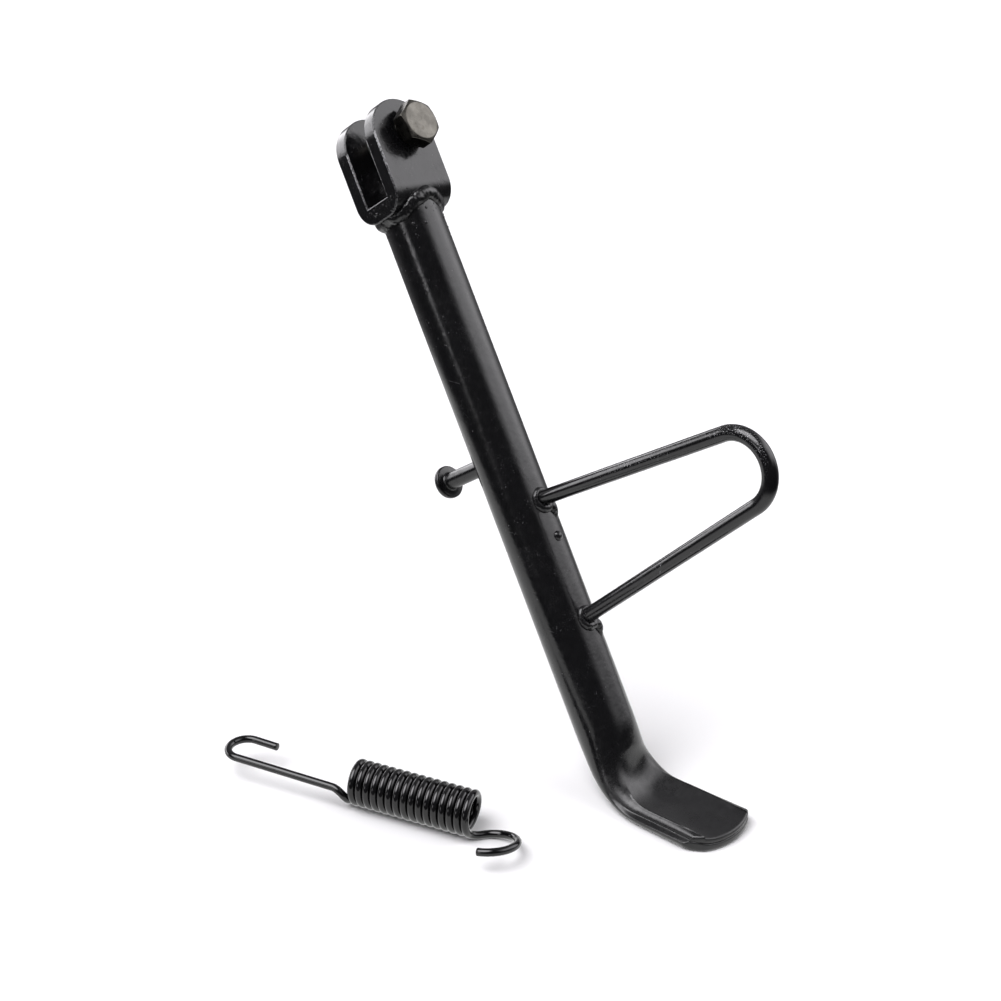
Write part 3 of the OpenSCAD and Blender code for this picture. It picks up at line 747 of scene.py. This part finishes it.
def root_weld(name, z0, slope, rod_r, side, nodes, below=5.5, seed=2.0, size=1.0):
    """Fillet round a rod that meets the tube, running down the tube as a tongue below it."""
    n = 120
    a = np.linspace(0, 2 * np.pi, n, endpoint=False)
    rho = rod_r + 0.15
    y = rho * np.cos(a)
    low = smooth(-np.sin(a))
    zz = rho * np.sin(a) - low * 0.9
    x = np.sqrt(TUBE_R**2 - y**2)
    c = np.stack([side * (x + 0.05), y - OFF, z0 + zz + side * 0 - (x - TUBE_R) * math.tan(slope)], 1)
    o = np.stack([side * np.full(n, 0.9), np.cos(a), np.sin(a)], 1)
    p = [bead_along("r", c, o, (1.45 + 0.55 * low) * size, m=18, ripple=0.05, n_rip=13, lump=0.14, seed=seed)]
    if below > 0:
        # the welder's run carried on down the far side of the root
        t = np.linspace(0, 1, 44)
        yy = 3.0 + 1.8 * smooth(t * 1.4)
        rad = (2.6 - 1.3 * t**1.5) * size
        cc = np.stack([side * (np.sqrt(TUBE_R**2 - yy**2) + 0.1 - 0.6 * t), yy - OFF, z0 - rod_r * 0.35 - (below + 2.6) * t], 1)
        p.append(bead_along("t", cc, np.stack([side * np.full(44, 1.0), yy / TUBE_R, np.zeros(44)], 1), rad, m=22, closed=False, ripple=0.05, n_rip=4, lump=0.12, seed=seed + 2))
    v, f = join(p)
    return finish_piece(make(name, row(v), f, 60), M_WELD, "leg", nodes)


# ---------------------------------------------------------------- kick loop
LOOP_C = np.array([108.5, -176.3])
LOOP_R, ROD_R = 14.4, 3.1
FALL, RISE_D = math.radians(1.9), math.radians(10.7)
a0, a1 = -math.pi / 2 + RISE_D, math.pi / 2 - FALL
upp = LOOP_C + LOOP_R * np.array([math.cos(a1), math.sin(a1)])
low = LOOP_C + LOOP_R * np.array([math.cos(a0), math.sin(a0)])
up_l = (upp[0] - TUBE_R + 1.5) / math.cos(FALL)
lo_l = (low[0] - TUBE_R + 1.5) / math.cos(RISE_D)
plan = [low - (1 - t) * lo_l * np.array([math.cos(RISE_D), math.sin(RISE_D)]) for t in np.linspace(0, 1, 40)[:-1]]
plan += [LOOP_C + LOOP_R * np.array([math.cos(a), math.sin(a)]) for a in np.linspace(a0, a1, 64)]
plan += [upp + t * up_l * np.array([-math.cos(FALL), math.sin(FALL)]) for t in np.linspace(0, 1, 40)[1:]]
plan = np.array(plan)
lv, lf = tube_along(np.stack([plan[:, 0], np.full(len(plan), -OFF), plan[:, 1]], 1), ROD_R, 36)
# the rod is hammered a little all along
rr = np.stack([lv[:, 0] - LOOP_C[0], lv[:, 2] - LOOP_C[1]], 1)
lv = lv + 0.05 * nz(lv, 9, 6.0)[:, None] * np.array([0, 1, 0.6])
ctr = np.stack([plan[:, 0], np.full(len(plan), -OFF), plan[:, 1]], 1)
side_n = np.zeros_like(lv)
body_n = 36 * len(plan)
side_n[:body_n] = (lv[:body_n] - np.repeat(ctr, 36, 0)) / ROD_R
# light chips on the side of the rod that faces up and to the front, toward the lights, on the upper rod and the bend's
# top: partly worn flecks, partly a painted highlight
faces_light_side = side_n @ np.array([0.25, -0.72, 0.62])
mid_rod = np.exp(-(((lv[:, 0] - 66) / 17) ** 2)) * (lv[:, 2] > -166)
bend_top = smooth((lv[:, 0] - 100) / 8) * smooth((lv[:, 2] + 184) / 8)
wear_and_highlight_rod = smooth((faces_light_side - 0.62) / 0.3) * (0.75 * mid_rod + 0.85 * bend_top)
kick = finish_piece(make("kick_loop_rod", row(lv), lf, 50, edge=wear_and_highlight_rod, edge_faces=set(range(len(lf)))), M_ROD, "leg", ["kick_loop"])
upper_z = LOOP_C[1] + LOOP_R * math.cos(FALL) + (LOOP_C[0] + LOOP_R * math.sin(FALL) - TUBE_R) * math.tan(FALL)
lower_z = LOOP_C[1] - LOOP_R * math.cos(RISE_D) - (LOOP_C[0] + LOOP_R * math.sin(RISE_D) - TUBE_R) * math.tan(RISE_D)
root_weld("loop_weld_upper_bead", upper_z, FALL, ROD_R, 1, ["loop_weld_upper"], below=6.0, seed=2.2)
root_weld("loop_weld_lower_bead", lower_z, -RISE_D, ROD_R, 1, ["loop_weld_lower"], below=6.5, seed=5.1)
tv, tf = drop(np.array([TUBE_R - 0.3, 0.8 - OFF, -175.0]), [1, 0.05, 0], 2.15, 12.0, flat=0.95)
bm = bmesh.new()
bmesh.ops.create_icosphere(bm, subdivisions=4, radius=1.0)
tco = np.array([v.co[:] for v in bm.verts])
tf = [[v.index for v in f.verts] for f in bm.faces]
bm.free()
tv = tco * (2.1 * (1 + 0.07 * nz(tco, 0.8, 3.0)))[:, None] + np.array([TUBE_R - 0.4, 0.8 - OFF, -175.0])
finish_piece(make("tack_drop", row(tv), tf, 60), M_WELD, "leg", ["tack_bead"])

# ---------------------------------------------------------------- spring post
prof = [(-11.6, 0), (-11.6, 3.6), (-33.6, 3.6), (-34.2, 3.72), (-34.6, 4.2), (-34.62, 6.3), (-34.75, 6.75), (-35.1, 7.0), (-36.2, 7.0), (-36.75, 6.85), (-37.08, 6.45), (-37.2, 5.9), (-37.16, 3.0), (-37.12, 0)]
pv, pf = lathe([(x, r) for x, r in prof], 72, np.array([0, -OFF, -137.6]), np.array([1.0, 0, 0]), np.array([0, 1.0, 0]), np.array([0, 0, 1.0]))
pv = pv + 0.04 * nz(pv, 4, 2.0)[:, None]
finish_piece(make("spring_post_pin", row(pv), pf, 50), M_POST, "leg", ["spring_post"])
root_weld("post_weld_bead", -137.6, 0.0, 3.6, -1, ["post_weld"], below=0, seed=9.0, size=0.8)


# ---------------------------------------------------------------- hexagon bolt and nut
def hex_body(h, af, phase, cham_in, cham_out, m=216, hole=None, disc=True):
    """Hexagon with 30 degree chamfers; rows of (height, radius at each angle)."""
    th = np.linspace(0, 2 * np.pi, m, endpoint=False)
    loc = (th - math.radians(phase)) % (math.pi / 3) - math.pi / 6
    rh = (af / 2) / np.cos(loc)
    corner = af / math.sqrt(3)
    rh = np.minimum(rh, corner - 0.12)  # corners slightly rounded
    t30 = math.tan(math.radians(30))
    rc = af / 2 - 0.75
    rows = []
    z_out = h - np.maximum(0, rh - rc) * t30
    z_in = np.maximum(0, rh - rc) * t30 if cham_in else np.zeros(m)
    r_in = rc
    if not cham_in:
        rows.append((np.zeros(m), np.full(m, 0.0)))
        rows.append((np.zeros(m), rh - 0.25))
        rows.append((np.full(m, 0.08), rh - 0.08))
        rows.append((np.full(m, 0.28), rh))
    else:
        rows.append((np.zeros(m), np.full(m, hole if hole else 0.0)))
        rows.append((np.zeros(m), np.full(m, rc - 0.1)))
        rows.append((np.full(m, 0.05), np.full(m, rc + 0.1)))
        rows.append((z_in - 0.08 + 0.0, rh - 0.18))
        rows.append((z_in + 0.14, rh))
    rows.append((z_out - 0.14, rh))
    rows.append((z_out + 0.02, rh - 0.10))
    rows.append((z_out + 0.10, rh - 0.24))
    rows.append((np.full(m, h - 0.05), np.full(m, rc + 0.10)))
    rows.append((np.full(m, h), np.full(m, rc - 0.12)))
    if disc:
        rows.append((np.full(m, h), np.full(m, rc - 0.9)))
        rows.append((np.full(m, h - 0.04), np.full(m, rc * 0.5)))
        rows.append((np.full(m, h - 0.05), np.full(m, 0.0)))
    else:
        rows.append((np.full(m, h), np.full(m, hole + 0.55)))
        rows.append((np.full(m, h - 0.5), np.full(m, hole)))
    v = []
    for z, r in rows:
        v.append(np.stack([z, r * np.cos(th), r * np.sin(th)], 1))
    return np.concatenate(v), grid_faces(len(rows), m), rows, m


def clean(ob, dist=0.00002):
    bm = bmesh.new()
    bm.from_mesh(ob.data)
    bmesh.ops.remove_doubles(bm, verts=bm.verts, dist=dist)
    bmesh.ops.recalc_face_normals(bm, faces=bm.faces)
    bm.to_mesh(ob.data)
    bm.free()
    for p in ob.data.polygons:
        p.use_smooth = True
    ob.data.set_sharp_from_angle(angle=math.radians(24))
    return ob


HEAD_X = HALF + 2.6
hv, hf, _, _ = hex_body(6.4, 17.0, 9.0, False, True)
# leg frame: hexagon drawn with x along the bolt; angle 0 points along -z and 90 along +y in the CAD's turned axes
hex_pts = np.stack([hv[:, 0] + HEAD_X, hv[:, 2], -hv[:, 1]], 1)
sh = [(HEAD_X + 0.2, 0), (HEAD_X + 0.2, 6.0), (HEAD_X - 0.1, 6.0), (-HALF - 0.05, 6.0), (-HALF - 0.35, 5.7), (-HALF - 0.36, 4.5), (-HALF - 0.36, 0)]
sv, sf = lathe(sh, 64, np.zeros(3), np.array([1.0, 0, 0]), np.array([0, 1.0, 0]), np.array([0, 0, 1.0]))
# thread: one helical ridge, 1.25 mm pitch, running out at the tip
m = 72
x_a, x_b, pitch = -HALF - 0.30, -HALF - 7.5, 1.25
per = 14
turns_t = (x_a - x_b) / pitch
nk = int(turns_t * per)
rows_v = []
ang = np.linspace(0, 2 * np.pi, m, endpoint=False)
xs = np.linspace(x_a, x_b, nk)
for x in xs:
    ph = ((x_a - x) / pitch - ang / (2 * np.pi)) % 1.0
    tri = np.abs(ph - 0.5) * 2  # 1 at the crest
    tri = np.clip((tri - 0.12) / 0.76, 0, 1)
    rr_ = 4.25 + 0.70 * tri
    end = smooth((x - x_b) / 1.3)
    rr_ = np.minimum(rr_, 3.9 + 1.1 * end)
    rows_v.append(np.stack([np.full(m, x), rr_ * np.cos(ang), rr_ * np.sin(ang)], 1))
thv = np.concatenate(rows_v)
thf = grid_faces(nk, m)
c0 = len(thv)
thv = np.vstack([thv, [[x_b - 0.12, 0, 0]], [[x_a, 0, 0]]])
thf += [((nk - 1) * m + k, (nk - 1) * m + (k + 1) % m, c0) for k in range(m)]
thf += [(k, (k + 1) % m, c0 + 1) for k in range(m)]
bv, bf = join([(hex_pts, hf), (sv, sf), (thv, thf)])
bolt = make("pivot_bolt_detail", row(bv), bf, 24)
bolt = clean(bolt)
finish_piece(bolt, M_STEEL, "pivot", ["pivot_bolt"])

nv, nf, nrows, nm = hex_body(5.0, 17.0, 20.0, True, True, hole=5.05, disc=False)
s = len(nrows)
nf = nf + [((s - 1) * nm + k, (s - 1) * nm + (k + 1) % nm, (k + 1) % nm, k) for k in range(nm)]
nut_pts = np.stack([nv[:, 0] - HALF - 0.37 - 5.0, nv[:, 2], -nv[:, 1]], 1)
nut = clean(make("lock_nut_detail", row(nut_pts), nf, 24))
finish_piece(nut, M_NUT, "pivot", ["lock_nut"])

# ---------------------------------------------------------------- return spring, one wire
YAW = math.radians(16)
COIL_OD, WIRE, PITCH, TURNS, START = 18.7, 3.2, 3.28, 15.99, 227.0
CR = (COIL_OD - WIRE) / 2
ENDF = START + 360 * TURNS
CL = PITCH * TURNS
SO = np.array([75.55, -105.6, SOLE + COIL_OD / 2])


def spring_row(p):
    p = np.atleast_2d(p)
    c, s_ = math.cos(YAW), math.sin(YAW)
    return np.stack([SO[0] + p[:, 0] * c - p[:, 1] * s_, SO[1] + p[:, 0] * s_ + p[:, 1] * c, SO[2] + p[:, 2]], 1)


def bez(a, b, c, d, n):
    t = np.linspace(0, 1, n)[:, None]
    u = 1 - t
    return u**3 * a + 3 * u * u * t * b + 3 * u * t * t * c + t**3 * d


def coil_at(f, x):
    f = math.radians(f)
    return np.array([x, CR * math.cos(f), CR * math.sin(f)])


def coil_way(f):
    f = math.radians(f)
    return unit([PITCH / 2 / math.pi, -CR * math.sin(f), CR * math.cos(f)])


w0 = coil_way(START)
p2 = np.array([-6.64, -6.55, -0.67])
p3 = p2 + np.array([-43.6, -0.3, 1.43])
dsh = unit(p2 - p3)
long_r = 7.1
cc = p3 + np.array([0, long_r, 0])
p4 = p3 + np.array([0, 2 * long_r, 0])
hook = list(reversed(bez(coil_at(START, 0), coil_at(START, 0) - 4 * w0, p2 + 3.2 * dsh, p2, 22)[:-1]))
shank = [p3 + (p2 - p3) * t for t in np.linspace(0, 1, 26)]
arc = [cc + long_r * np.array([math.cos(a), math.sin(a), 0]) for a in np.radians(np.linspace(-270, -90, 40))]
tail = [p4 + np.array([10.9, -0.6, 0]) * t for t in np.linspace(1, 0, 9)]
path = tail[:-1] + arc[:-1] + shank[:-1] + [p2] + hook[:-1]
STEP = 44
nc = int(TURNS * STEP)
path += [coil_at(START + (ENDF - START) * i / nc, CL * i / nc) for i in range(nc + 1)]
w1 = coil_way(ENDF)


def on(f):
    f = math.radians(f)
    return np.array([CL + 11, -8.93, -4.2]) + 10.4 * np.array([math.cos(f), math.sin(f), 0.194 * math.cos(f) - 0.284 * math.sin(f)])


t0 = unit(on(134) - on(135))
e0 = coil_at(ENDF, CL)
path += list(bez(e0, e0 + 2.6 * w1, on(135) - 1.8 * t0, on(135), 16)[1:])
path += [on(f) for f in np.linspace(135, -93, 60)[1:]]
path = np.array(path)
spv, spf = tube_along(path, WIRE / 2, 20)
spring = make("return_spring_wire", spring_row(spv), spf, 55)
spring.data.materials.append(M_SPRING)
for o_ in [spring]:
    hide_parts("spring_coil", "spring_long_hook", "spring_short_hook")
tuple(spring_row([1.0, 0, 0])[0] * MM)
tuple(spring_row([CL - 1.0, 0, 0])[0] * MM)
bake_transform(spring)

# ---------------------------------------------------------------- floor, light and camera
fl_v, fl_f = [], []
gn = 25
R = 30.0
for i in range(gn):
    for j in range(gn):
        fl_v.append(((i / (gn - 1) - 0.5) * 2 * R * 1000, (j / (gn - 1) - 0.5) * 2 * R * 1000, SOLE))
fl_f = [(i * gn + j, (i + 1) * gn + j, (i + 1) * gn + j + 1, i * gn + j + 1) for i in range(gn - 1) for j in range(gn - 1)]
floor = make("studio_floor", fl_v, fl_f, 180)
fm, fnt, fbs = new_mat("floor_white")
fco = nd(fnt, "ShaderNodeTexCoord").outputs["Object"]
fnt.links.new(mixc(fnt, ramp(fnt, noise_tex(fnt, fco, 6, 3), 0.3, 0.7), (0.75, 0.75, 0.75), (0.77, 0.77, 0.77)), fbs.inputs["Base Color"])
fbs.inputs["Roughness"].default_value = 0.9
fbs.inputs["Specular IOR Level"].default_value = 0.1
floor.data.materials.append(fm)
floor.visible_glossy = False

world = bpy.data.worlds.new("studio")
bpy.context.scene.world = world
world.use_nodes = True
wt = world.node_tree
for n_ in list(wt.nodes):
    wt.nodes.remove(n_)
wo = wt.nodes.new("ShaderNodeOutputWorld")
bg_l = wt.nodes.new("ShaderNodeBackground")
bg_c = wt.nodes.new("ShaderNodeBackground")
mixs = wt.nodes.new("ShaderNodeMixShader")
lp = wt.nodes.new("ShaderNodeLightPath")
wt.links.new(lp.outputs["Is Camera Ray"], mixs.inputs[0])
wt.links.new(bg_l.outputs[0], mixs.inputs[1])
wt.links.new(bg_c.outputs[0], mixs.inputs[2])
wt.links.new(mixs.outputs[0], wo.inputs[0])
bg_c.inputs[0].default_value = (1, 1, 1, 1)
bg_c.inputs[1].default_value = 1.0
tc = wt.nodes.new("ShaderNodeTexCoord")


def dotn(nt, src, vec):
    n = nd(nt, "ShaderNodeVectorMath", operation="DOT_PRODUCT")
    nt.links.new(src, n.inputs[0])
    n.inputs[1].default_value = tuple(float(c) for c in vec)
    return n.outputs["Value"]


sky = tc.outputs["Generated"]
# how far a direction points to the front, (0.637, -0.770), of the studio
front = dotn(wt, sky, (0.637, -0.770, 0.0))
height = dotn(wt, sky, (0, 0, 1.0))
is_low = ramp(wt, height, 0.05, -0.05)
high_part = ramp(wt, front, -0.6, 0.4, BACK_SKY, FRONT_SKY)
low_part = ramp(wt, front, -0.6, 0.2, 0.25, LOW_SKY)
val = mathn(wt, "ADD", mathn(wt, "MULTIPLY", low_part, is_low), mathn(wt, "MULTIPLY", high_part, mathn(wt, "SUBTRACT", 1.0, is_low)))


def round_box(direction, inner, outer, radiance):
    c = dotn(wt, sky, unit(direction))
    return ramp(wt, c, math.cos(math.radians(outer)), math.cos(math.radians(inner)), 0.0, radiance)


def long_box(direction, side, s_in, s_out, s_in2, s_out2, l_in, l_out, radiance):
    """Soft-edged light, long and short sides given separately as sines of half angles."""
    d = unit(direction)
    sd = unit(np.asarray(side) - d * (d @ np.asarray(side)))
    up_ = np.cross(d, sd)
    a_ = dotn(wt, sky, sd)
    b_ = dotn(wt, sky, up_)
    f_ = dotn(wt, sky, d)
    m_ = mathn(wt, "MULTIPLY", ramp(wt, a_, -s_out, -s_in), ramp(wt, a_, s_out2, s_in2))
    m_ = mathn(wt, "MULTIPLY", m_, mathn(wt, "MULTIPLY", ramp(wt, b_, -l_out, -l_in), ramp(wt, b_, l_out, l_in)))
    m_ = mathn(wt, "MULTIPLY", m_, ramp(wt, f_, 0.02, 0.12, 0.0, radiance))
    return m_


for lobe in LIGHTS(round_box, long_box):
    val = mathn(wt, "ADD", val, lobe)
bg_l.inputs[0].default_value = (0.985, 0.972, 1.0, 1)
wt.links.new(val, bg_l.inputs[1])


def area(name, direction, dist, sx, sy, radiance, spread=180):
    d = Vector(direction).normalized()
    li = bpy.data.lights.new(name, "AREA")
    li.shape = "RECTANGLE"
    li.size, li.size_y = sx, sy
    li.energy = radiance * math.pi * sx * sy
    li.spread = math.radians(spread)
    ob = bpy.data.objects.new(name, li)
    bpy.context.scene.collection.objects.link(ob)
    target = Vector((0.07, -0.04, -0.12))
    ob.location = target + d * dist
    ob.rotation_mode = "QUATERNION"
    ob.rotation_quaternion = d.to_track_quat("Z", "Y")
    ob.visible_camera = False
    return ob


# the lit table top near the object, as the glossy paint sees it
card_v = [(70 + 1000 * R_CARD * x, -40 + 1000 * R_CARD * y, SOLE - 0.05) for x, y in ((-1, -1), (1, -1), (1, 1), (-1, 1))]
card = make("table_reflector", card_v, [(0, 1, 2, 3)], 180)
cm, cnt, cbs = new_mat("table_glow")
cnt.nodes.remove(cbs)
em = cnt.nodes.new("ShaderNodeEmission")
tr = cnt.nodes.new("ShaderNodeBsdfTransparent")
cmix = cnt.nodes.new("ShaderNodeMixShader")
cco = nd(cnt, "ShaderNodeTexCoord").outputs["Object"]
ln = nd(cnt, "ShaderNodeVectorMath", operation="DISTANCE")
cnt.links.new(cco, ln.inputs[0])
ln.inputs[1].default_value = CARD_MID
fade = ramp(cnt, ln.outputs["Value"], R_CARD * 0.95, R_CARD * 0.6)
cnt.links.new(fade, cmix.inputs[0])
cnt.links.new(tr.outputs[0], cmix.inputs[1])
cnt.links.new(em.outputs[0], cmix.inputs[2])
em.inputs[0].default_value = (1, 1, 1, 1)
em.inputs[1].default_value = CARD_L
cnt.links.new(cmix.outputs[0], [n for n in cnt.nodes if n.bl_idname == "ShaderNodeOutputMaterial"][0].inputs[0])
card.data.materials.append(cm)
card.visible_camera = False
card.visible_diffuse = False
card.visible_shadow = False
card.visible_transmission = False

sc = bpy.context.scene
sc.view_settings.view_transform = "Standard"
sc.view_settings.look = "None"
cam_d = bpy.data.cameras.new("camera")
cam = bpy.data.objects.new("camera", cam_d)
sc.collection.objects.link(cam)
az, el, roll = math.radians(39.562), math.radians(25.509), math.radians(0.78)
back = Vector((math.sin(az) * math.cos(el), -math.cos(az) * math.cos(el), math.sin(el)))
right = Vector((math.cos(az), math.sin(az), 0))
up = back.cross(right)
r2 = right * math.cos(roll) + up * math.sin(roll)
u2 = -right * math.sin(roll) + up * math.cos(roll)
cam.matrix_world = Matrix(((r2.x, u2.x, back.x, 0.47149), (r2.y, u2.y, back.y, -0.49590), (r2.z, u2.z, back.z, 0.16403), (0, 0, 0, 1)))
cam_d.sensor_width = 36
cam_d.lens = 1675.0 / 1001 * 36
cam_d.clip_start, cam_d.clip_end = 0.01, 100
sc.camera = cam
